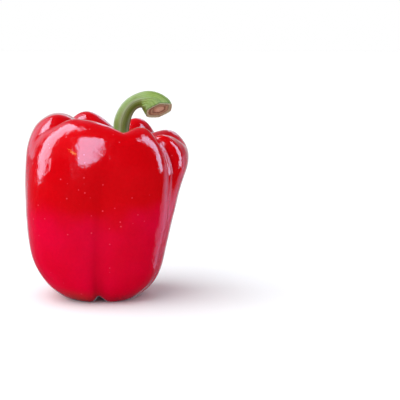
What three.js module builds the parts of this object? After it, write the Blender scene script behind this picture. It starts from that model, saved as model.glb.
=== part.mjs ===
// A ripe red bell pepper as picked, standing on the tips of its lobes, with its calyx and its cut, hooked stem.
// Units are millimetres and +Z is up. The finished group stands on z = 0, with its box centred on the Z axis.
import * as THREE from 'three';

// How finely each piece is divided.
const POD_RINGS = 33;
const POD_SEGMENTS = 64;
const CALYX_STEPS = 4;
const CALYX_SEGMENTS = 48;
const STEM_RINGS = 20;
const STEM_SEGMENTS = 18;

// The pod's half section where a lobe bulges most, as [radius, height], from the blossom end to the stem seat.
const RIDGE_PROFILE = [
  [0, 7], [7, 4.8], [12, 1.2], [17, 0], [23, 2.8], [30.5, 10], [35.8, 20], [38.8, 33], [41.2, 50],
  [43, 66], [43.2, 79], [39.5, 90], [32.5, 96.8], [25.5, 97.6], [18.5, 93.5], [12.5, 87.5], [6.5, 84.2],
  [0, 83.6],
];
// The same half section along the bottom of a full-depth furrow between two lobes.
const FURROW_PROFILE = [
  [0, 7], [7, 6.7], [12, 6.2], [16.5, 6], [21.5, 7.6], [27, 13.5], [31.3, 22], [33.9, 34.5], [35.6, 50],
  [36.6, 64], [36, 75], [32.8, 83.5], [27.5, 88.5], [22, 89.6], [16.5, 88.2], [11.5, 85.6], [6, 83.9],
  [0, 83.6],
];
// Sideways drift of the pod's axis at even steps from the blossom end to the stem seat.
const AXIS_DRIFT = [-4.5, -4.6, -5, -5.6, -5.8, -3.1, 0.4, 2.4, 4, 5.2, 5.8];
const LEAN_DEGREES = 12.5; // the stem seat's tilt towards +X
const LEAN_GROWTH = 1.3; // how the tilt grows on the way up, as a power
const FOOT_TRIM = 0.9; // how much of each lobe's tip is pressed flat by what it stands on

// Furrows between the lobes. Angles are degrees about +Z from +X, at the foot and at the shoulder.
// before and after are the half widths on either side. foot, waist and shoulder are depths, as a share of the
// full furrow. soft rounds the furrow's bottom, and fade is where the shoulder furrow starts on the way up.
const FURROWS = [
  { from: -91, to: -79, before: 34, after: 18, foot: 0.1, waist: 0.03, shoulder: 0.75, soft: 6, fade: 0.63 },
  { from: -80, to: -80, before: 10, after: 10, foot: 0, waist: 0, shoulder: 0.6, soft: 1.5, fade: 0.66 },
  { from: -92, to: -88, before: 14, after: 24, foot: 0.58, waist: 0.28, shoulder: 0, soft: 3, fade: 0.45 },
  { from: -28, to: -46, before: 13, after: 7, foot: 0, waist: 0, shoulder: 0.45, soft: 1.5, fade: 0.43 },
  { from: -22, to: -38, before: 9, after: 12, foot: 0.15, waist: 0, shoulder: 0.6, soft: 1.2, fade: 0.43 },
  { from: -30, to: -30, before: 22, after: 20, foot: 0, waist: 0.16, shoulder: 0, soft: 6, fade: 0.5 },
  { from: 0, to: -4, before: 12, after: 18, foot: 0, waist: 0, shoulder: 0.6, soft: 2.5, fade: 0.62 },
  { from: 42, to: 38, before: 22, after: 24, foot: 0, waist: 0.1, shoulder: 0.7, soft: 4, fade: 0.42 },
  { from: 84, to: 88, before: 40, after: 45, foot: 0.7, waist: 0.25, shoulder: 1, soft: 5, fade: 0.42 },
  { from: 146, to: 142, before: 26, after: 26, foot: 0, waist: 0.05, shoulder: 0.8, soft: 4, fade: 0.42 },
  { from: -173, to: -149, before: 18, after: 18, foot: 0.55, waist: 0.06, shoulder: 0.8, soft: 2, fade: 0.6 },
];
const FURROW_SHARPNESS = 2.4;
const DEEPEST_FURROW = 1.35; // where two furrows cross
const FURROW_TURN = [0.2, 0.75]; // over which part of the way up a furrow turns from one angle to the other
const FOOT_FADE = [0.12, 0.42]; // over which part its foot depth gives way to its waist depth
const SHOULDER_FADE = 0.2; // how long its shoulder depth takes to come in

// How each lobe differs from the ridge profile: its crest's lift, and its reach at the shoulder and waist.
const LOBES = [
  { angle: -118, lift: -2, shoulder: 0, waist: 0 },
  { angle: -58, lift: -0.8, shoulder: 1.8, waist: 0 },
  { angle: -20, lift: -6, shoulder: 1.6, waist: 0.5 },
  { angle: 14, lift: -3, shoulder: 4.4, waist: 0.8 },
  { angle: 62, lift: 1.5, shoulder: 0, waist: 0 },
  { angle: 115, lift: 1, shoulder: 0, waist: 0 },
  { angle: 176, lift: -2.2, shoulder: 1.2, waist: 0.8 },
];
const LOBE_FOCUS = 9; // how quickly one lobe's shape gives way to the next

// Over which parts of the way up the crest and the waist come in and fade out.
const CREST_RISE = [0.5, 0.72];
const CREST_FALL = [0.8, 0.98];
const WAIST_RISE = [0.2, 0.4];
const WAIST_FALL = [0.5, 0.7];

// The waist is a rounded square: one corner's angle, and how far corners stand out as a share of the radius.
const CORNER_ANGLE = -47;
const CORNER_REACH = 0.045;

// The calyx: fused sepals, pressed into the hollow round the stem.
const CALYX_GAP = 0.5; // clearance over the skin
const CALYX_REACH = 0.105; // how far it runs out from the seat, as a share of the pod's half section
const SEPAL_REACH = 0.03; // how much further each point runs
const SEPALS = 6;
const SEPAL_TURN = 12; // degrees
const SEPAL_SHARPNESS = 1.5;
const COLLAR_SHARE = 0.3; // how far out the collar keeps its full thickness
const COLLAR_THICKNESS = 3.2;
const RIM_THICKNESS = 1.3;
const COLLAR_RISE = 0.9; // how far the skin under the collar's edge stands over the seat

// The stem's centre line from its foot to the cut, as [x, y, z, radius].
const STEM_PATH = [
  [7.2, 0, 90.5, 4.6], [8, 0, 96, 4.4], [9.6, -0.3, 100.3, 4.1], [11.8, -0.6, 103.6, 3.9],
  [14.5, -1, 105.8, 3.8], [17.7, -1.4, 107, 4.2], [20.8, -1.9, 106.9, 5.4], [24, -2.8, 105.7, 6.6],
  [26.3, -4, 103.9, 7.4], [27.6, -5.2, 101.8, 7.5],
];
const STEM_FOOT_RADIUS = 5.6;
const STEM_GAP = 0.4; // clearance over the calyx
const CUT_DIRECTION = new THREE.Vector3(0.27, -0.5, -0.82).normalize(); // which way the cut face looks
const FOOT_TURN = 0.12; // the first share of the stem, over which it leaves the seat's own direction
const CUT_TURN = 0.4; // the last share of the stem, over which it turns to that direction
const STEM_RIDGES = 6;
const STEM_RIDGE_HEIGHT = 0.07; // share of the radius

const { clamp, degToRad, lerp, smoothstep } = THREE.MathUtils;

// Catmull-Rom curve through evenly spaced points, each an array of numbers. t runs from 0 to 1.
function curveThrough(points, t) {
  const place = clamp(t, 0, 1) * (points.length - 1);
  const start = Math.min(Math.floor(place), points.length - 2);
  const f = place - start;
  const b = points[start];
  const c = points[start + 1];
  const a = points[start - 1] ?? b.map((value, axis) => 2 * value - c[axis]);
  const d = points[start + 2] ?? c.map((value, axis) => 2 * value - b[axis]);
  return b.map((value, axis) => 0.5 * (2 * value + (c[axis] - a[axis]) * f
    + (2 * a[axis] - 5 * value + 4 * c[axis] - d[axis]) * f ** 2
    + (3 * value - a[axis] - 3 * c[axis] + d[axis]) * f ** 3));
}

// A section that crosses the pod's axis is mirrored there, so that the skin is smooth at both poles.
function profileThrough(points, t) {
  const mirror = ([radius, height]) => [-radius, height];
  const whole = [mirror(points[1]), ...points, mirror(points.at(-2))];
  return curveThrough(whole, (t * (points.length - 1) + 1) / (whole.length - 1));
}

// Shortest way from one angle to another, in degrees from -180 to 180.
function turnBetween(from, to) {
  return THREE.MathUtils.euclideanModulo(to - from + 180, 360) - 180;
}

// How deep in a furrow the skin is at this place: 0 on a lobe's ridge, about 1 in a full furrow.
function furrowDepth(along, degrees) {
  let depth = 0;
  for (const furrow of FURROWS) {
    const centre = lerp(furrow.from, furrow.to, smoothstep(along, ...FURROW_TURN));
    const off = turnBetween(centre, degrees);
    const width = off < 0 ? furrow.before : furrow.after;
    const distance = Math.hypot(off, furrow.soft) - furrow.soft;
    const lower = lerp(furrow.foot, furrow.waist, smoothstep(along, ...FOOT_FADE));
    const share = lerp(lower, furrow.shoulder, smoothstep(along, furrow.fade, furrow.fade + SHOULDER_FADE));
    depth += share * clamp(1 - distance / width, 0, 1) ** FURROW_SHARPNESS;
  }
  return Math.min(depth, DEEPEST_FURROW);
}

// Blend of the lobes' own differences at this angle.
function lobeShape(degrees) {
  const blend = { lift: 0, shoulder: 0, waist: 0 };
  let total = 0;
  for (const lobe of LOBES) {
    const weight = Math.exp(LOBE_FOCUS * (Math.cos(degToRad(degrees - lobe.angle)) - 1));
    total += weight;
    for (const key of Object.keys(blend)) blend[key] += weight * lobe[key];
  }
  for (const key of Object.keys(blend)) blend[key] /= total;
  return blend;
}

// A point of the pod's skin. along runs from 0 at the blossom end to 1 at the stem seat.
function skin(along, degrees) {
  const ridge = profileThrough(RIDGE_PROFILE, along);
  const furrow = profileThrough(FURROW_PROFILE, along);
  const depth = furrowDepth(along, degrees);
  const lobe = lobeShape(degrees);
  const atCrest = smoothstep(along, ...CREST_RISE) * (1 - smoothstep(along, ...CREST_FALL));
  const atWaist = smoothstep(along, ...WAIST_RISE) * (1 - smoothstep(along, ...WAIST_FALL));
  const corner = 1 + CORNER_REACH * Math.cos(degToRad(4 * (degrees - CORNER_ANGLE))) * atWaist;
  const radius = (lerp(ridge[0], furrow[0], depth) + lobe.shoulder * atCrest + lobe.waist * atWaist) * corner;
  const height = lerp(ridge[1], furrow[1], depth) + lobe.lift * atCrest;
  const lean = degToRad(LEAN_DEGREES) * along ** LEAN_GROWTH;
  const x = radius * Math.cos(degToRad(degrees));
  const y = radius * Math.sin(degToRad(degrees));
  const drift = curveThrough(AXIS_DRIFT.map((value) => [value]), along)[0];
  return new THREE.Vector3(drift + x * Math.cos(lean), y, Math.max(height - x * Math.sin(lean), FOOT_TRIM));
}

// A closed body from a first pole, through rings that run anticlockwise about the way from it, to a last pole.
function ringBody(firstPole, rings, lastPole) {
  const count = rings[0].length;
  const points = [firstPole, ...rings.flat(), lastPole];
  const faces = [];
  const last = points.length - 1;
  for (let i = 0; i < count; i += 1) {
    const next = (i + 1) % count;
    faces.push(0, 1 + next, 1 + i);
    for (let ring = 0; ring < rings.length - 1; ring += 1) {
      const low = 1 + ring * count;
      const high = low + count;
      faces.push(low + i, low + next, high + next, low + i, high + next, high + i);
    }
    faces.push(last, last - count + i, last - count + next);
  }
  const geometry = new THREE.BufferGeometry().setFromPoints(points);
  geometry.setIndex(faces);
  geometry.computeVertexNormals();
  return geometry;
}

// A list of what make gives for 0, 1, 2 and so on.
function series(count, make) {
  return Array.from({ length: count }, (_, index) => make(index));
}

function podGeometry() {
  const ring = (along) => series(POD_SEGMENTS, (i) => skin(along, (360 * i) / POD_SEGMENTS));
  const rings = series(POD_RINGS, (i) => ring((i + 1) / (POD_RINGS + 1)));
  return ringBody(skin(0, 0), rings, skin(1, 0));
}

// The way out of the stem seat, square to it.
const seatUp = new THREE.Vector3(0, 0, 1).applyAxisAngle(new THREE.Vector3(0, 1, 0), degToRad(LEAN_DEGREES));
const seat = skin(1, 0);

function calyxGeometry() {
  // out runs from 0 at the stem to 1 at the sepals' rim, and lift is the height over the skin.
  const point = (out, degrees, lift) => {
    const ripple = (1 + Math.cos(degToRad(SEPALS * (degrees - SEPAL_TURN)))) / 2;
    const reach = CALYX_REACH + SEPAL_REACH * ripple ** SEPAL_SHARPNESS;
    return skin(1 - reach * out, degrees).addScaledVector(seatUp, lift);
  };
  const ring = (out, lift) => series(CALYX_SEGMENTS, (i) => point(out, (360 * i) / CALYX_SEGMENTS, lift));
  const under = series(CALYX_STEPS, (i) => ring((i + 1) / CALYX_STEPS, CALYX_GAP));
  const over = series(CALYX_STEPS, (i) => {
    const out = 1 - i / CALYX_STEPS;
    return ring(out, CALYX_GAP + lerp(COLLAR_THICKNESS, RIM_THICKNESS, smoothstep(out, COLLAR_SHARE, 1)));
  });
  return ringBody(point(0, 0, CALYX_GAP), [...under, ...over], point(0, 0, CALYX_GAP + COLLAR_THICKNESS));
}

function stemGeometry() {
  const foot = seat.clone().addScaledVector(seatUp, CALYX_GAP + COLLAR_THICKNESS + COLLAR_RISE + STEM_GAP);
  const path = [[...foot.toArray(), STEM_FOOT_RADIUS], ...STEM_PATH];
  const centre = (t) => new THREE.Vector3(...curveThrough(path, t));
  const frames = series(STEM_RINGS, (i) => {
    const t = i / (STEM_RINGS - 1);
    const step = 0.01;
    const forward = centre(Math.min(t + step, 1)).sub(centre(Math.max(t - step, 0))).normalize();
    forward.lerp(seatUp, 1 - smoothstep(t, 0, FOOT_TURN)).normalize();
    forward.lerp(CUT_DIRECTION, smoothstep(t, 1 - CUT_TURN, 1)).normalize();
    const back = new THREE.Vector3(0, 1, 0).addScaledVector(forward, -forward.y).normalize();
    const side = back.clone().cross(forward);
    return { origin: centre(t), radius: curveThrough(path, t)[3], ridge: STEM_RIDGE_HEIGHT * t, side, back };
  });
  const rings = frames.map((frame) => series(STEM_SEGMENTS, (i) => {
    const angle = (2 * Math.PI * i) / STEM_SEGMENTS;
    const radius = frame.radius * (1 + frame.ridge * Math.cos(STEM_RIDGES * angle));
    return frame.origin.clone()
      .addScaledVector(frame.side, radius * Math.cos(angle))
      .addScaledVector(frame.back, radius * Math.sin(angle));
  }));
  return ringBody(frames[0].origin, rings, frames.at(-1).origin);
}

function piece(name, geometry, color, roughness) {
  const mesh = new THREE.Mesh(geometry, new THREE.MeshStandardMaterial({ color, roughness, metalness: 0 }));
  mesh.name = name;
  return mesh;
}

const pepper = new THREE.Group();
pepper.add(
  piece('fruit', podGeometry(), 0xc8001a, 0.15),
  piece('calyx', calyxGeometry(), 0x6b8f3c, 0.55),
  piece('stem', stemGeometry(), 0x93b060, 0.5),
);

// Stand it on z = 0 with the middle of its bounding box on the Z axis.
const box = new THREE.Box3().setFromObject(pepper);
const middle = box.getCenter(new THREE.Vector3());
pepper.position.set(-middle.x, -middle.y, -box.min.z);

export default pepper;
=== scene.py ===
"""A ripe red bell pepper with its calyx and its cut, hooked stem, on a pale studio floor.

Lengths are metres, except in the shapes of the pod, the calyx and the stem, which are drawn in the design's
millimetres and scaled once. +Z is up, and the pepper's broad front lobe faces -Y.
"""
import math

import bpy
import numpy as np
from mathutils import Matrix, Vector, noise


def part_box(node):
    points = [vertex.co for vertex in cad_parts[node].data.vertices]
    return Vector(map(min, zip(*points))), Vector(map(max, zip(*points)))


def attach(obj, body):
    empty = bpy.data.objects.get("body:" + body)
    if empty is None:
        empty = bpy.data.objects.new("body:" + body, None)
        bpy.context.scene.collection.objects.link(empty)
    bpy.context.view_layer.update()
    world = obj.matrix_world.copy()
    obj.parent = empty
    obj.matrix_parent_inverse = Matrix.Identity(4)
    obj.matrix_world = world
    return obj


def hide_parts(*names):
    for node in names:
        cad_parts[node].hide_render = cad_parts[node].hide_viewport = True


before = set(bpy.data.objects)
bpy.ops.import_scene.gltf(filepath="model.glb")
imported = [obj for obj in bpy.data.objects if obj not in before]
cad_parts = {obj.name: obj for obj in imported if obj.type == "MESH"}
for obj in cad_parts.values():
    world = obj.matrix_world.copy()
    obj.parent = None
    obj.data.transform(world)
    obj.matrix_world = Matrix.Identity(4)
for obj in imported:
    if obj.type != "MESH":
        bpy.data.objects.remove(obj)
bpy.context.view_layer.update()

MM = 0.001

# ---------------------------------------------------------------- the pod's shape, in millimetres

# Half section where a lobe bulges most, as (radius, height), from the blossom end to the stem seat.
RIDGE_PROFILE = [
    (0, 7), (7, 4.8), (12, 1.2), (17, 0), (23, 2.8), (30.5, 10), (35.8, 20), (38.8, 33), (41.2, 50),
    (43, 66), (43.2, 79), (39.5, 90), (32.5, 96.8), (25.5, 97.6), (18.5, 93.5), (12.5, 87.5), (6.5, 84.2),
    (0, 83.6),
]
# The same half section along the bottom of a full-depth furrow between two lobes.
FURROW_PROFILE = [
    (0, 7), (7, 6.7), (12, 6.2), (16.5, 6), (21.5, 7.6), (27, 13.5), (31.3, 22), (33.9, 34.5), (35.6, 50),
    (36.6, 64), (36, 75), (32.8, 83.5), (27.5, 88.5), (22, 89.6), (16.5, 88.2), (11.5, 85.6), (6, 83.9),
    (0, 83.6),
]
# Sideways drift of the pod's axis at even steps from the blossom end to the stem seat.
AXIS_DRIFT = [-4.5, -4.6, -5, -5.6, -5.8, -3.1, 0.4, 2.4, 4, 5.2, 5.8]
LEAN_DEGREES = 12.5  # the stem seat's tilt towards +X
LEAN = math.radians(LEAN_DEGREES)
LEAN_GROWTH = 1.3  # how the tilt grows on the way up, as a power
FOOT_TRIM = 0.9  # how much of each lobe's tip is pressed flat by what it stands on

# Furrows between the lobes. In degrees: the angle at the foot and at the shoulder, and the half width before
# and after. As a share of the full furrow: the depth at the foot, waist and shoulder. Then how soft its
# bottom is, in degrees, and how far up the pod the shoulder's depth starts.
FURROWS = [
    (-91, -79, 34, 18, 0.1, 0.03, 0.75, 6, 0.63),
    (-80, -80, 10, 10, 0, 0, 0.6, 1.5, 0.66),
    (-92, -88, 14, 24, 0.58, 0.28, 0, 3, 0.45),
    (-28, -46, 13, 7, 0, 0, 0.45, 1.5, 0.43),
    (-22, -38, 9, 12, 0.15, 0, 0.6, 1.2, 0.43),
    (-30, -30, 22, 20, 0, 0.16, 0, 6, 0.5),
    (0, -4, 12, 18, 0, 0, 0.6, 2.5, 0.62),
    (42, 38, 22, 24, 0, 0.1, 0.7, 4, 0.42),
    (84, 88, 40, 45, 0.7, 0.25, 1, 5, 0.42),
    (146, 142, 26, 26, 0, 0.05, 0.8, 4, 0.42),
    (-173, -149, 18, 18, 0.55, 0.06, 0.8, 2, 0.6),
]
FURROW_SHARPNESS = 2.4
DEEPEST_FURROW = 1.35  # where two furrows cross
FURROW_TURN = (0.2, 0.75)  # over which part of the way up a furrow turns from one angle to the other
FOOT_FADE = (0.12, 0.42)  # over which part its foot depth gives way to its waist depth
SHOULDER_FADE = 0.2  # how long its shoulder depth takes to come in

# How each lobe differs from the ridge profile: its angle, lift at the crest, reach at the shoulder and waist.
LOBES = [
    (-118, -2, 0, 0), (-58, -0.8, 1.8, 0), (-20, -6, 1.6, 0.5), (14, -3, 4.4, 0.8),
    (62, 1.5, 0, 0), (115, 1, 0, 0), (176, -2.2, 1.2, 0.8),
]
LOBE_FOCUS = 9  # how quickly one lobe's shape gives way to the next

# Over which parts of the way up the crest and the waist come in and fade out.
CREST_RISE = (0.5, 0.72)
CREST_FALL = (0.8, 0.98)
WAIST_RISE = (0.2, 0.4)
WAIST_FALL = (0.5, 0.7)

# The waist is a rounded square: one corner's angle, and how far corners stand out as a share of the radius.
CORNER_ANGLE = -47
CORNER_REACH = 0.045

POD_RINGS = 250
POD_SEGMENTS = 360

# The flesh under the skin is never quite even: (height, size) of its swellings, in millimetres.
SWELLINGS = [(0.12, 9), (0.05, 4)]
SWELL_CENTRE = (0, 0, 50)
SWELL_CLEARANCE = 4  # how far above the feet they reach their full height


def curve_through(points, t):
    """Catmull-Rom curve through evenly spaced points, for an array of t from 0 to 1."""
    points = np.array(points, float)
    points = np.vstack([2 * points[0] - points[1], points, 2 * points[-1] - points[-2]])
    last = len(points) - 4
    place = np.clip(t, 0, 1) * (last + 1)
    start = np.minimum(place.astype(int), last)
    f = (place - start)[..., None]
    a, b, c, d = (points[start + step] for step in range(4))
    return 0.5 * (2 * b + (c - a) * f + (2 * a - 5 * b + 4 * c - d) * f**2 + (3 * b - a - 3 * c + d) * f**3)


def profile_through(points, t):
    """A half section, mirrored where it crosses the axis so that the skin is smooth at both poles."""
    count = len(points)
    mirror = (-1, 1)
    whole = [np.multiply(points[1], mirror), *points, np.multiply(points[-2], mirror)]
    return curve_through(whole, (t * (count - 1) + 1) / (count + 1))


def ease(t, low, high):
    """0 below low, 1 above high, and smooth between."""
    t = np.clip((t - low) / (high - low), 0, 1)
    return t * t * (3 - 2 * t)


def mix(a, b, share):
    return a + (b - a) * share


def furrow_depth(along, degrees):
    """0 on a lobe's ridge, about 1 in a full furrow."""
    total = 0
    for foot_at, shoulder_at, before, after, foot, waist, shoulder, softness, fade in FURROWS:
        centre = mix(foot_at, shoulder_at, ease(along, *FURROW_TURN))
        off = (degrees - centre + 180) % 360 - 180
        width = np.where(off < 0, before, after)
        distance = np.hypot(off, softness) - softness
        lower = mix(foot, waist, ease(along, *FOOT_FADE))
        share = mix(lower, shoulder, ease(along, fade, fade + SHOULDER_FADE))
        total = total + share * np.clip(1 - distance / width, 0, 1) ** FURROW_SHARPNESS
    return np.minimum(total, DEEPEST_FURROW)


def lobe_shape(degrees):
    """Blend of the lobes' own lift and reaches at this angle."""
    weights = [np.exp(LOBE_FOCUS * (np.cos(np.radians(degrees - lobe[0])) - 1)) for lobe in LOBES]
    return [sum(w * lobe[column] for w, lobe in zip(weights, LOBES)) / sum(weights) for column in (1, 2, 3)]


def skin(along, degrees):
    """Points of the pod's skin. along runs from 0 at the blossom end to 1 at the stem seat."""
    along, degrees = np.broadcast_arrays(np.asarray(along, float), np.asarray(degrees, float))
    depth = furrow_depth(along, degrees)[..., None]
    section = mix(profile_through(RIDGE_PROFILE, along), profile_through(FURROW_PROFILE, along), depth)
    lift, shoulder, waist = lobe_shape(degrees)
    at_crest = ease(along, *CREST_RISE) * (1 - ease(along, *CREST_FALL))
    at_waist = ease(along, *WAIST_RISE) * (1 - ease(along, *WAIST_FALL))
    corner = 1 + CORNER_REACH * np.cos(np.radians(4 * (degrees - CORNER_ANGLE))) * at_waist
    radius = (section[..., 0] + shoulder * at_crest + waist * at_waist) * corner
    height = section[..., 1] + lift * at_crest
    lean = LEAN * along**LEAN_GROWTH
    x = radius * np.cos(np.radians(degrees))
    y = radius * np.sin(np.radians(degrees))
    drift = curve_through([(value,) for value in AXIS_DRIFT], along)[..., 0]
    return np.stack([drift + x * np.cos(lean), y, np.maximum(height - x * np.sin(lean), FOOT_TRIM)], axis=-1)


def unit(vector):
    vector = np.asarray(vector, float)
    return vector / np.linalg.norm(vector, axis=-1, keepdims=True)


SEAT_UP = np.array([math.sin(LEAN), 0, math.cos(LEAN)])
SEAT = skin(1, 0)

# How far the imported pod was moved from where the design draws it, so that the one drawn here can follow.
coarse = skin(np.linspace(0, 1, 120)[:, None], np.arange(0, 360, 2)[None, :]).reshape(-1, 3)
packed_low, packed_high = (np.array(corner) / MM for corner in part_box("fruit"))
SHIFT = (packed_low + packed_high) / 2 - (coarse.min(axis=0) + coarse.max(axis=0)) / 2
SHIFT[2] = packed_low[2] - FOOT_TRIM

# ---------------------------------------------------------------- helpers for meshes and materials


def ring_faces(rings, segments):
    """Quads between rings of points, with triangles to one point before them and one after them."""
    faces = []
    last = 1 + rings * segments
    for i in range(segments):
        after = (i + 1) % segments
        faces.append((0, 1 + after, 1 + i))
        faces.append((last, last - segments + i, last - segments + after))
    for ring in range(rings - 1):
        low = 1 + ring * segments
        for i in range(segments):
            after = (i + 1) % segments
            faces.append((low + i, low + after, low + segments + after, low + segments + i))
    return faces


def add_object(name, data):
    thing = bpy.data.objects.new(name, data)
    bpy.context.scene.collection.objects.link(thing)
    return thing


def add_piece(name, points, faces, materials, node):
    """A smooth mesh piece from points in the design's millimetres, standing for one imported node."""
    mesh = bpy.data.meshes.new(name)
    mesh.from_pydata(((np.asarray(points) + SHIFT) * MM).tolist(), [], faces)
    mesh.update()
    mesh.shade_smooth()
    for material in materials:
        mesh.materials.append(material)
    piece = add_object(name, mesh)
    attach(piece, "root")
    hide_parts(node)
    return piece


def store(piece, name, values):
    """Keeps one number or one vector per point for the materials to read."""
    values = np.asarray(values, float)
    kind, field = ("FLOAT", "value") if values.ndim == 1 else ("FLOAT_VECTOR", "vector")
    piece.data.attributes.new(name, kind, "POINT").data.foreach_set(field, values.ravel())


def linear(hex_colour):
    """An sRGB hex colour as linear RGBA."""
    channels = [int(hex_colour[i:i + 2], 16) / 255 for i in (1, 3, 5)]
    return tuple(c / 12.92 if c <= 0.04045 else ((c + 0.055) / 1.055) ** 2.4 for c in channels) + (1,)


def add(tree, kind, inputs=None, stops=None, **settings):
    """Adds a shader node. inputs holds values or other nodes' sockets, and stops are a colour ramp's."""
    node = tree.nodes.new("ShaderNode" + kind)
    for name, value in settings.items():
        setattr(node, name, value)
    for socket, value in (inputs or {}).items():
        if isinstance(value, bpy.types.NodeSocket):
            tree.links.new(value, node.inputs[socket])
        else:
            node.inputs[socket].default_value = value
    if stops:
        ramp = node.color_ramp.elements
        while len(ramp) < len(stops):
            ramp.new(0.5)
        for element, (position, colour) in zip(ramp, stops):
            element.position = position
            element.color = linear(colour)
    return node


def new_material(name):
    material = bpy.data.materials.new(name)
    material.use_nodes = True
    material.node_tree.nodes.clear()
    return material, material.node_tree


def per_metre(size_mm):
    """Texture scale that gives features about this many millimetres across."""
    return 1 / (size_mm * MM)


# ---------------------------------------------------------------- materials

# One healed scratch high on the front: its middle, its turn in radians, and its rough half size each way.
SCRATCH_PLACE = (-17.5 * MM, -37.3 * MM, 81.8 * MM)
SCRATCH_TURN = (0, 0.55, -0.45)
SCRATCH_SIZE = (3.4 * MM, 2.5 * MM, 1 * MM)


def waxy_skin():
    """Ripe pepper skin under its own wax: a saturated red with a sharp, slightly rippled gloss."""
    material, tree = new_material("waxy pepper skin")
    place = add(tree, "TexCoord").outputs["Object"]
    # Uneven ripening in patches, with warm red above and a cooler, pinker crimson on the lower flanks, which
    # is a painted reflection of the white floor below.
    patches = add(tree, "TexNoise", {"Vector": place, "Scale": per_metre(30), "Detail": 2}).outputs["Fac"]
    warm = add(tree, "ValToRGB", {"Fac": patches}, stops=[(0.35, "#D40009"), (0.65, "#CA0006")])
    floor_reflection_red = add(tree, "ValToRGB", {"Fac": patches}, stops=[(0.35, "#DC0033"), (0.65, "#D40028")])
    height = add(tree, "SeparateXYZ", {"Vector": place}).outputs["Z"]
    wander = add(tree, "Math", {0: patches, 1: 40 * MM, 2: height}, operation="MULTIPLY_ADD").outputs[0]
    low = add(tree, "MapRange", {"Value": wander, "From Min": 80 * MM, "From Max": 60 * MM},
              interpolation_type="SMOOTHSTEP").outputs["Result"]
    red = add(tree, "Mix", {0: low, 6: warm.outputs["Color"], 7: floor_reflection_red.outputs["Color"]},
              data_type="RGBA").outputs[2]
    # Fine mottling of the cells under the skin, drawn coarser than the real ones so that it shows.
    fine = add(tree, "TexNoise", {"Vector": place, "Scale": per_metre(1.5), "Detail": 3}).outputs["Fac"]
    mottle = add(tree, "ValToRGB", {"Fac": fine}, stops=[(0.35, "#B4000E"), (0.65, "#D60016")])
    red = add(tree, "Mix", {0: 0.18, 6: red, 7: mottle.outputs["Color"]}, data_type="RGBA").outputs[2]
    # Pale pinprick specks, drawn up to a millimetre across, about twice the real ones, so that they show.
    cells = add(tree, "TexVoronoi", {"Vector": place, "Scale": per_metre(3)})
    speck = add(tree, "MapRange", {"Value": cells.outputs["Distance"], "From Min": 0.16, "From Max": 0.09})
    chosen = add(tree, "SeparateColor", {"Color": cells.outputs["Color"]}).outputs["Red"]
    kept = add(tree, "Math", {0: chosen, 1: 0.24}, operation="LESS_THAN").outputs[0]
    specks = add(tree, "Math", {0: speck.outputs["Result"], 1: kept}, operation="MULTIPLY").outputs[0]
    red = add(tree, "Mix", {0: specks, 6: red, 7: linear("#E04858")}, data_type="RGBA").outputs[2]
    # The scratch has healed tan, with a ragged edge.
    near = add(tree, "Mapping", {"Vector": place, "Location": SCRATCH_PLACE, "Rotation": SCRATCH_TURN,
                                 "Scale": SCRATCH_SIZE}, vector_type="TEXTURE").outputs["Vector"]
    away = add(tree, "VectorMath", {0: near}, operation="LENGTH").outputs["Value"]
    crumbs = add(tree, "TexNoise", {"Vector": place, "Scale": per_metre(0.8), "Detail": 2}).outputs["Fac"]
    ragged = add(tree, "Math", {0: crumbs, 1: 2.4, 2: away}, operation="MULTIPLY_ADD").outputs[0]
    scratch = add(tree, "MapRange", {"Value": ragged, "From Min": 2, "From Max": 1.4}).outputs["Result"]
    red = add(tree, "Mix", {0: scratch, 6: red, 7: linear("#E8743A")}, data_type="RGBA").outputs[2]
    # The furrows are painted darker, as shade, with a yellow-orange flush round the calyx, a brown blossom
    # scar and a brown bruise on one foot.
    covers = [("furrow", "#A80016"), ("crown", "#D8741C"), ("blossom", "#7A4A22"), ("bruise_and_shadow", "#8A3C20")]
    for name, colour in covers:
        cover = add(tree, "Attribute", attribute_name=name).outputs["Fac"]
        red = add(tree, "Mix", {0: cover, 6: red, 7: linear(colour)}, data_type="RGBA").outputs[2]
    ripple = add(tree, "TexNoise", {"Vector": place, "Scale": per_metre(4), "Detail": 3, "Roughness": 0.5})
    bump = add(tree, "Bump", {"Height": ripple.outputs["Fac"], "Strength": 1, "Distance": 0.3 * MM})
    shader = add(tree, "BsdfPrincipled", {
        "Base Color": red, "Roughness": 0.1, "IOR": 1.4, "Normal": bump.outputs["Normal"],
    })
    add(tree, "OutputMaterial", {"Surface": shader.outputs["BSDF"]})
    return material


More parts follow.
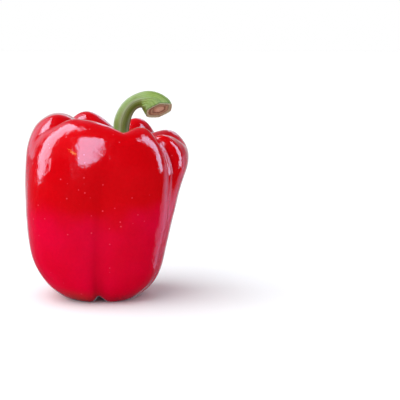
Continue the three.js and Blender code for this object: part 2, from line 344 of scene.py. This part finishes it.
def ridged_stalk():
    """Green woody stalk: satin, pale and streaked on the outside of its bend, deep olive on the inside, which
    is partly its own colour and partly painted shade.
    """
    material, tree = new_material("ridged green stalk")
    grain = add(tree, "Attribute", attribute_name="grain").outputs["Vector"]
    ridge = add(tree, "Attribute", attribute_name="ridge").outputs["Fac"]
    inner_olive_and_shade = add(tree, "Attribute", attribute_name="inner_olive_and_shade").outputs["Fac"]
    # Streaks a sixth of the stalk's radius wide, which is about a millimetre, and many times as long.
    long_grain = add(tree, "Mapping", {"Vector": grain, "Scale": (6, 6, 2.5)}).outputs["Vector"]
    streaks = add(tree, "TexNoise", {
        "Vector": long_grain, "Scale": 1, "Detail": 4, "Roughness": 0.6,
    }).outputs["Fac"]
    pale = add(tree, "ValToRGB", {"Fac": streaks},
               stops=[(0.3, "#6A8030"), (0.5, "#809440"), (0.7, "#98A66C")])
    olive = add(tree, "ValToRGB", {"Fac": streaks}, stops=[(0.3, "#4A6000"), (0.7, "#667E10")])
    # The olive on the hook's inside is partly the stalk's own colour and partly painted shade.
    green = add(tree, "Mix", {0: inner_olive_and_shade, 6: pale.outputs["Color"], 7: olive.outputs["Color"]},
                data_type="RGBA")
    green = add(tree, "Mix", {0: ridge, 6: green.outputs[2], 7: linear("#A4B088")}, data_type="RGBA")
    # It is yellower where it swells, and a painted shadow darkens it along the rim of the cut.
    swollen = add(tree, "Attribute", attribute_name="swollen").outputs["Fac"]
    bruise_and_shadow = add(tree, "Attribute", attribute_name="bruise_and_shadow").outputs["Fac"]
    fresh = add(tree, "ValToRGB", {"Fac": streaks}, stops=[(0.3, "#6E8A26"), (0.7, "#94AC50")])
    green = add(tree, "Mix", {0: swollen, 6: green.outputs[2], 7: fresh.outputs["Color"]}, data_type="RGBA")
    green = add(tree, "Mix", {0: bruise_and_shadow, 6: green.outputs[2], 7: linear("#4E5E22")}, data_type="RGBA")
    place = add(tree, "TexCoord").outputs["Object"]
    pores = add(tree, "TexNoise", {"Vector": place, "Scale": per_metre(0.7), "Detail": 2}).outputs["Fac"]
    relief = add(tree, "Math", {0: streaks, 1: 2, 2: pores}, operation="MULTIPLY_ADD").outputs[0]
    bump = add(tree, "Bump", {"Height": relief, "Strength": 0.6, "Distance": 0.25 * MM})
    shader = add(tree, "BsdfPrincipled", {
        "Base Color": green.outputs[2], "Roughness": 0.5, "IOR": 1.4, "Specular IOR Level": 0.2,
        "Normal": bump.outputs["Normal"],
    })
    add(tree, "OutputMaterial", {"Surface": shader.outputs["BSDF"]})
    return material


def dried_cut():
    """Cut end dried to cork: matt tan-brown, with a dark ring of vessels and a pinkish pith."""
    material, tree = new_material("dried corky cut")
    radial = add(tree, "Attribute", attribute_name="radial").outputs["Fac"]
    place = add(tree, "TexCoord").outputs["Object"]
    crumb = add(tree, "TexNoise", {"Vector": place, "Scale": per_metre(1.1), "Detail": 4, "Roughness": 0.7})
    uneven = add(tree, "Math", {0: crumb.outputs["Fac"], 1: 0.3, 2: radial}, operation="MULTIPLY_ADD")
    rings = add(tree, "ValToRGB", {"Fac": uneven.outputs[0]}, stops=[
        (0.2, "#DCBCA0"), (0.5, "#CCA488"), (0.62, "#7C5440"),
        (0.72, "#C4A482"), (0.88, "#8A6850"), (1, "#C4C09C"),
    ])
    bump = add(tree, "Bump", {"Height": crumb.outputs["Fac"], "Strength": 0.8, "Distance": 0.5 * MM})
    shader = add(tree, "BsdfPrincipled", {
        "Base Color": rings.outputs["Color"], "Roughness": 0.85, "Specular IOR Level": 0.2,
        "Normal": bump.outputs["Normal"],
    })
    add(tree, "OutputMaterial", {"Surface": shader.outputs["BSDF"]})
    return material


def fleshy_calyx():
    """Fused sepals: satin green with fine veins running out from the stalk, paler along the rim."""
    material, tree = new_material("fleshy green calyx")
    grain = add(tree, "Attribute", attribute_name="grain").outputs["Vector"]
    rim = add(tree, "Attribute", attribute_name="rim").outputs["Fac"]
    # Veins about 8 degrees apart, which is about a millimetre halfway out.
    veins = add(tree, "TexNoise", {
        "Vector": grain, "Scale": 7, "Detail": 3, "Roughness": 0.55,
    }).outputs["Fac"]
    green = add(tree, "ValToRGB", {"Fac": veins}, stops=[(0.3, "#5F7F2C"), (0.7, "#8CA554")])
    green = add(tree, "Mix", {0: rim, 6: green.outputs["Color"], 7: linear("#AEBF7C")}, data_type="RGBA")
    bump = add(tree, "Bump", {"Height": veins, "Strength": 0.7, "Distance": 0.4 * MM})
    shader = add(tree, "BsdfPrincipled", {
        "Base Color": green.outputs[2], "Roughness": 0.5, "IOR": 1.4, "Specular IOR Level": 0.2,
        "Normal": bump.outputs["Normal"],
    })
    add(tree, "OutputMaterial", {"Surface": shader.outputs["BSDF"]})
    return material


def white_floor():
    """Matt white paper sweep."""
    material, tree = new_material("white paper sweep")
    shader = add(tree, "BsdfPrincipled", {"Base Color": linear("#F4F4F4"), "Roughness": 0.9})
    add(tree, "OutputMaterial", {"Surface": shader.outputs["BSDF"]})
    return material


# ---------------------------------------------------------------- pieces

BRUISED_FOOT = -122  # degrees
BRUISE_WIDTH = 22  # degrees


def make_fruit():
    along = np.linspace(0, 1, POD_RINGS + 2)[:, None]
    degrees = np.arange(POD_SEGMENTS)[None, :] * 360 / POD_SEGMENTS
    grid = skin(along, degrees)
    points = np.vstack([grid[0, :1], grid[1:-1].reshape(-1, 3), grid[-1, :1]])
    swell = [sum(height * noise.noise(Vector(p) / size) for height, size in SWELLINGS) for p in points]
    above_foot = ease(points[:, 2], FOOT_TRIM, FOOT_TRIM + SWELL_CLEARANCE)
    points += unit(points - SWELL_CENTRE) * (swell * above_foot)[:, None]
    faces = ring_faces(POD_RINGS, POD_SEGMENTS)
    fruit = add_piece("pod_skin", points, faces, [waxy_skin()], "fruit")

    def per_point(values):
        values = np.broadcast_to(values, grid.shape[:2])
        return np.concatenate([values[0, :1], values[1:-1].ravel(), values[-1, :1]])

    depth = furrow_depth(*np.broadcast_arrays(along, degrees))
    # Painted shade darkens the furrows in full towards the shoulder and by half towards the feet.
    high_furrow_shade = ease(depth, 0.3, 1) * ease(along, 0.5, 0.7)
    low_furrow_shade = 0.5 * ease(depth, 0.1, 0.45) * (1 - ease(along, 0.38, 0.5))
    store(fruit, "furrow", per_point(high_furrow_shade + low_furrow_shade))
    store(fruit, "crown", per_point(ease(along, 0.85, 0.9) * 0.5))
    store(fruit, "blossom", per_point(1 - ease(along, 0.01, 0.05)))
    # The front left foot is a little bruised.
    off_foot = (degrees - BRUISED_FOOT + 180) % 360 - 180
    near_floor = ease(along, 0.1, 0.16) * (1 - ease(along, 0.22, 0.3))
    store(fruit, "bruise_and_shadow", per_point(0.6 * np.exp(-((off_foot / BRUISE_WIDTH) ** 2)) * near_floor))


CALYX_LIFT = 0.1  # over the skin, in millimetres
CALYX_REACH = 0.105  # how far it runs out from the seat, as a share of the pod's half section
SEPAL_REACH = 0.03  # how much further each point runs
SEPALS = 6
SEPAL_TURN = 12  # degrees
SEPAL_SHARPNESS = 1.5
COLLAR_SHARE = 0.3  # how far out the collar keeps its full thickness
COLLAR_THICKNESS = 3.6
RIM_THICKNESS = 1.3
CALYX_SEGMENTS = 240
CALYX_STEPS = 30
VEIN_LENGTH = 0.2  # from stalk to rim in the veins' own pattern, which goes round a circle of radius 1


def make_calyx():
    degrees = np.arange(CALYX_SEGMENTS) * 360 / CALYX_SEGMENTS
    ripple = (1 + np.cos(np.radians(SEPALS * (degrees - SEPAL_TURN)))) / 2
    reach = CALYX_REACH + SEPAL_REACH * ripple**SEPAL_SHARPNESS

    def ring(out, lift):
        return skin(1 - reach * out, degrees) + SEAT_UP * lift

    outs = np.arange(1, CALYX_STEPS + 1) / CALYX_STEPS
    back_in = outs[::-1]
    thickness = mix(COLLAR_THICKNESS, RIM_THICKNESS, ease(back_in, COLLAR_SHARE, 1))
    under = [ring(out, CALYX_LIFT) for out in outs]
    over = [ring(out, CALYX_LIFT + thick) for out, thick in zip(back_in, thickness)]
    bottom, top = (SEAT + SEAT_UP * lift for lift in (CALYX_LIFT, CALYX_LIFT + COLLAR_THICKNESS))
    points = np.vstack([[bottom], *under, *over, [top]])
    faces = ring_faces(2 * CALYX_STEPS, CALYX_SEGMENTS)
    calyx = add_piece("calyx_sepals", points, faces, [fleshy_calyx()], "calyx")
    ring_outs = np.concatenate([outs, back_in])
    angle = np.radians(degrees)
    grain = [np.stack([np.cos(angle), np.sin(angle), np.full(CALYX_SEGMENTS, out * VEIN_LENGTH)], axis=-1)
             for out in ring_outs]
    store(calyx, "grain", np.vstack([[(0, 0, 0)], *grain, [(0, 0, 0)]]))
    rim = np.repeat(ease(ring_outs, 0.82, 1), CALYX_SEGMENTS)
    store(calyx, "rim", np.concatenate([[0], rim, [0]]))


# The stem's centre line from its foot to the cut, as (x, y, z, radius).
STEM_PATH = [
    (7.2, 0, 90.5, 4.6), (8, 0, 96, 4.4), (9.6, -0.3, 100.3, 4.1), (11.8, -0.6, 103.6, 3.9),
    (14.5, -1, 105.8, 3.8), (17.7, -1.4, 107, 4.2), (20.8, -1.9, 106.9, 5.4), (24, -2.8, 105.7, 6.6),
    (26.3, -4, 103.9, 7.4), (27.6, -5.2, 101.8, 7.5),
]
STEM_FOOT_LIFT = 1.6  # over the seat, so that the foot starts inside the calyx
STEM_FOOT_RADIUS = 7.4
CUT_DIRECTION = unit((0.27, -0.5, -0.82))  # which way the cut face looks
FOOT_TURN = 0.12  # the first share of the stem, over which it leaves the seat's own direction
CUT_TURN = 0.4  # the last share of the stem, over which it turns to the cut's direction
STEM_RINGS = 170
STEM_SEGMENTS = 180
RIDGES = 6
RIDGE_TURN = 20  # degrees
RIDGE_REACH = 1.06  # how far fully sharp ridges stand from the centre, as a share of the radius
BLUNT, SHARP = 0.25, 0.62  # how much of the facets' shape shows at the foot and at the swollen end
RIBS = 22
RIB_HEIGHT = 0.012  # share of the radius
WOBBLE = 0.02  # share of the radius
# The cut face from its rim inwards, as (share of the radius, sink into the stem in millimetres).
CUT_RINGS = [
    (0.985, -0.25), (0.95, -0.1), (0.9, 0.35), (0.84, 0.5), (0.78, 0.35), (0.7, 0.1), (0.6, 0.15),
    (0.5, 0.45), (0.42, 0.6), (0.33, 0.45), (0.24, 0.3), (0.15, 0.35), (0.07, 0.4),
]
CUT_CENTRE_SINK = 0.4


def make_stem():
    foot = SEAT + SEAT_UP * STEM_FOOT_LIFT
    path = [(*foot, STEM_FOOT_RADIUS), *STEM_PATH]
    t = np.linspace(0, 1, STEM_RINGS)
    centre = curve_through(path, t)
    forward = unit(np.gradient(centre[:, :3], axis=0))
    forward = unit(mix(forward, SEAT_UP, (1 - ease(t, 0, FOOT_TURN))[:, None]))
    forward = unit(mix(forward, CUT_DIRECTION, ease(t, 1 - CUT_TURN, 1)[:, None]))
    back = unit(np.array([0, 1, 0]) - forward * forward[:, 1:2])
    side = np.cross(back, forward)
    angle = np.linspace(0, 2 * math.pi, STEM_SEGMENTS, endpoint=False)[None, :]

    # Flat facets meet in ridges, which sharpen towards the swollen end, with fine ribs between them.
    facet = math.pi / RIDGES
    off_ridge = (angle - math.radians(RIDGE_TURN)) % (2 * facet) - facet
    angular = math.cos(facet) / np.cos(off_ridge)
    sharpness = mix(BLUNT, SHARP, ease(t, 0.45, 0.8))[:, None]
    ribs = RIB_HEIGHT * np.cos(RIBS * angle) * ease(t, 0.05, 0.3)[:, None]
    shape = mix(1, angular * RIDGE_REACH, sharpness) + ribs

    def ring(at, scale, sink):
        wobble = [noise.noise(Vector((math.cos(a) * 2, math.sin(a) * 2, at * 9))) * WOBBLE for a in angle[0]]
        radius = centre[at, 3] * scale * (shape[at] + wobble)
        return (centre[at, :3] - forward[at] * sink + np.outer(radius * np.cos(angle[0]), side[at])
                + np.outer(radius * np.sin(angle[0]), back[at]))

    last = STEM_RINGS - 1
    rings = [ring(at, 1, 0) for at in range(STEM_RINGS)]
    rings += [ring(last, scale, sink) for scale, sink in CUT_RINGS]
    points = np.vstack([[foot], *rings, [centre[-1, :3] - forward[-1] * CUT_CENTRE_SINK]])
    faces = ring_faces(len(rings), STEM_SEGMENTS)
    stem = add_piece("stem_stalk", points, faces, [ridged_stalk(), dried_cut()], "stem")
    first_cut_point = 1 + STEM_RINGS * STEM_SEGMENTS
    stem.data.polygons.foreach_set("material_index", [int(max(face) >= first_cut_point) for face in faces])

    length = np.concatenate([t, np.full(len(CUT_RINGS), 1.0)])[:, None]
    inwards = np.concatenate([np.ones(STEM_RINGS), [scale for scale, _ in CUT_RINGS]])[:, None]

    def per_point(first, values, after):
        values = np.broadcast_to(values, (len(rings), STEM_SEGMENTS))
        return np.concatenate([[first], values.ravel(), [after]])

    grain = [per_point(0, np.cos(angle) * inwards, 0), per_point(0, np.sin(angle) * inwards, 0),
             per_point(0, length, 1)]
    store(stem, "grain", np.stack(grain, axis=-1))
    store(stem, "ridge", per_point(0, 0.8 * (np.abs(off_ridge) / facet) ** 2.2, 0))
    # The hook's inner side is the darker green, partly its own colour and partly painted shade where the bend
    # turns away from the light. The stalk's foot is just as dark.
    inner_olive_and_shade = ease(np.cos(angle), -0.35, 0.75) * (1 - ease(length, 0.62, 0.75))
    store(stem, "inner_olive_and_shade", per_point(1, np.maximum(inner_olive_and_shade, 1 - ease(length, 0.02, 0.2)), 0))
    store(stem, "radial", per_point(1, inwards, 0))
    store(stem, "swollen", per_point(0, 0.7 * ease(length, 0.55, 0.8), 0))
    # A painted shadow darkens the last rim before the cut.
    store(stem, "bruise_and_shadow", per_point(0, 0.8 * ease(length, 0.97, 0.995), 0))


# ---------------------------------------------------------------- stage, lights and camera

MIDDLE = Vector((0, 0, 0.052))  # of the pepper, which stands over the origin


def aim(thing, azimuth, elevation, distance):
    """Puts a thing round the pepper, facing its middle. Azimuth is 0 towards -Y and turns towards +X."""
    a, e = math.radians(azimuth), math.radians(elevation)
    place = MIDDLE + distance * Vector((math.sin(a) * math.cos(e), -math.cos(a) * math.cos(e), math.sin(e)))
    thing.location = place
    thing.rotation_euler = (MIDDLE - place).to_track_quat("-Z", "Y").to_euler()


def add_softbox(name, azimuth, elevation, distance, width, height, power, colour, turn=0):
    """A box that shows in the gloss only. turn, in degrees, tips its top towards lower azimuths."""
    light = bpy.data.lights.new(name, "AREA")
    light.shape = "RECTANGLE"
    light.size = width
    light.size_y = height
    light.energy = power
    light.color = linear(colour)[:3]
    lamp = add_object(name, light)
    aim(lamp, azimuth, elevation, distance)
    lamp.rotation_euler.rotate_axis("Z", math.radians(turn))
    lamp.visible_diffuse = False
    lamp.visible_camera = False


def add_sun(azimuth, elevation, strength, spread):
    """Broad light from overhead that shows in the shading only. spread is how wide it looks, in degrees."""
    light = bpy.data.lights.new("broad_overhead", "SUN")
    light.energy = strength
    light.angle = math.radians(spread)
    lamp = add_object("broad_overhead", light)
    aim(lamp, azimuth, elevation, distance=2)
    lamp.visible_glossy = False


def add_camera(elevation, distance, lens, pan):
    """A long lens, panned to the right by pan degrees, so that the pepper stands left of the centre."""
    camera_data = bpy.data.cameras.new("camera")
    camera_data.lens = lens
    camera_data.sensor_width = 36
    camera = add_object("camera", camera_data)
    aim(camera, 0, elevation, distance)
    turn = Matrix.Rotation(math.radians(-pan), 4, "Z")
    camera.rotation_euler = (turn @ camera.rotation_euler.to_matrix().to_4x4()).to_euler()
    bpy.context.scene.camera = camera


def add_floor(front, side):
    """White paper, kept out of the skin's gloss, as black cards beside a set would keep it."""
    mesh = bpy.data.meshes.new("floor")
    corners = [(-side, front, 0), (side, front, 0), (side, side, 0), (-side, side, 0)]
    mesh.from_pydata(corners, [], [(0, 1, 2, 3)])
    mesh.materials.append(white_floor())
    floor = add_object("floor", mesh)
    floor.visible_glossy = False


def add_world():
    """The studio round the set, as the camera, the shading and the gloss each see it."""
    world = bpy.data.worlds.new("white studio")
    world.use_nodes = True
    tree = world.node_tree
    tree.nodes.clear()
    ray = add(tree, "LightPath").outputs
    # In the gloss the studio is dark on the camera's side and pale behind.
    direction = add(tree, "TexCoord").outputs["Generated"]
    _, behind, height = add(tree, "SeparateXYZ", {"Vector": direction}).outputs
    gloss = add(tree, "ValToRGB", {"Fac": behind}, stops=[
        (0.1, "#181A1E"), (0.6, "#5A647C"), (0.85, "#8490A8"), (0.97, "#E0E2E8"),
    ])
    colour = add(tree, "Mix", {0: ray["Is Glossy Ray"], 6: linear("#C2C2C2"), 7: gloss.outputs["Color"]},
                 data_type="RGBA")
    colour = add(tree, "Mix", {0: ray["Is Camera Ray"], 6: colour.outputs[2], 7: linear("#FFFFFF")},
                 data_type="RGBA")
    # What lies low is in the pepper's own shade.
    shade = add(tree, "MapRange", {"Value": height, "From Min": -0.5, "From Max": -0.2, "To Min": 0.25})
    strength = add(tree, "Mix", {0: ray["Is Glossy Ray"], 2: 1.0, 3: shade.outputs["Result"]},
                   data_type="FLOAT")
    background = add(tree, "Background", {"Color": colour.outputs[2], "Strength": strength.outputs[0]})
    add(tree, "OutputWorld", {"Surface": background.outputs["Background"]})
    bpy.context.scene.world = world


make_fruit()
make_calyx()
make_stem()
add_floor(front=-0.4, side=20)
add_world()
add_camera(elevation=8, distance=0.6, lens=99.4, pan=4.81)
add_sun(-68, 55, strength=2.75, spread=80)
# Softboxes: azimuth and elevation in degrees, distance, width and height in metres, power and colour.
add_softbox("front_softbox", -23, 30, 1.2, 0.5, 1.6, 42, "#ACD9FF", turn=10)
add_softbox("left_strip", -100, 34, 1, 0.5, 1.6, 32, "#B2DCF8", turn=22)
add_softbox("back_left_panel", -137, 27, 1, 0.42, 0.9, 1.4, "#B2DCF8")
add_softbox("back_panel", 166, 28, 1, 0.3, 0.3, 0.7, "#BCE4FF")
add_softbox("right_strip", 87, 27, 1, 0.5, 1.4, 30, "#ACDCFF")
add_softbox("right_panel", 122, -12, 1, 0.6, 0.55, 1.1, "#B4C4F4")
bpy.context.scene.view_settings.view_transform = "Standard"
